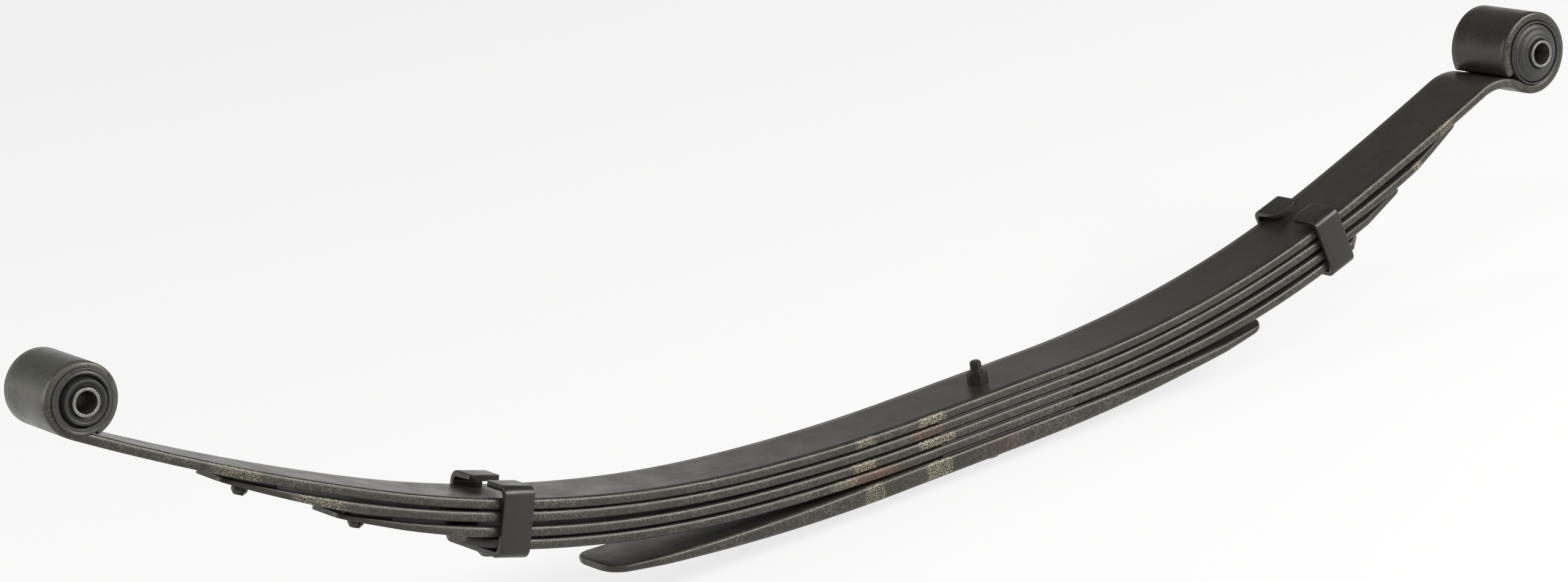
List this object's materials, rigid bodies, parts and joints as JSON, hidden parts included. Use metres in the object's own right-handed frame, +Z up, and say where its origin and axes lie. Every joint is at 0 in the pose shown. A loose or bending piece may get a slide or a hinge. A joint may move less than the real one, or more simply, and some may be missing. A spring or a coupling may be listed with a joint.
{
  "type": "leaf spring",
  "caption": "Semi-elliptic multi-leaf vehicle spring with a flat overload leaf, riveted rebound clips and rubber-bushed eyes",
  "frame": {"origin": "centre-bolt axis on the axle seat face, under the overload leaf", "axes": "+X towards the front eye (short half), -X towards the rear eye (long half), +Y across the leaves, +Z up from the axle"},
  "size_m": [1.3765, 0.0806, 0.304],
  "materials": {
    "leaf_paint": "satin black paint with rubbed edges",
    "clip_paint": "satin black paint",
    "bolt_steel": "dark phosphated steel",
    "shim_steel": "bare sheet steel",
    "pad_plastic": "black moulded plastic",
    "can_steel": "turned steel rim",
    "bushing_rubber": "black moulded rubber",
    "sleeve_steel": "bright turned steel"
  },
  "bodies": {
    "spring_pack": {"main_leaf": "leaf_paint", "rear_eye": "leaf_paint", "front_eye": "leaf_paint", "second_leaf": "leaf_paint", "third_leaf": "leaf_paint", "fourth_leaf": "leaf_paint", "overload_leaf": "leaf_paint", "rear_clip": "clip_paint", "front_clip": "clip_paint", "rear_clip_rivet": "clip_paint", "front_clip_rivet": "clip_paint", "center_bolt": "bolt_steel", "center_bolt_nut": "bolt_steel", "shim_main_second": "shim_steel", "shim_second_third": "shim_steel", "shim_third_fourth": "shim_steel", "shim_fourth_overload": "shim_steel", "rear_second_tip_pad": "pad_plastic", "front_second_tip_pad": "pad_plastic", "rear_third_tip_pad": "pad_plastic", "front_third_tip_pad": "pad_plastic", "rear_bushing_can": "can_steel", "front_bushing_can": "can_steel", "rear_bushing_rubber": "bushing_rubber", "front_bushing_rubber": "bushing_rubber"},
    "rear_sleeve": {"rear_bushing_sleeve": "sleeve_steel"},
    "front_sleeve": {"front_bushing_sleeve": "sleeve_steel"}
  },
  "joints": [
    {"name": "rear_sleeve_turn", "type": "hinge", "parent": "spring_pack", "child": "rear_sleeve", "pos_m": [-0.73822, 0, 0.26803], "axis": [0, 1, 0], "range_deg": [-20, 20], "stiffness_Nm_per_rad": 60},
    {"name": "front_sleeve_turn", "type": "hinge", "parent": "spring_pack", "child": "front_sleeve", "pos_m": [0.57842, 0, 0.16289], "axis": [0, 1, 0], "range_deg": [-20, 20], "stiffness_Nm_per_rad": 60}
  ]
}
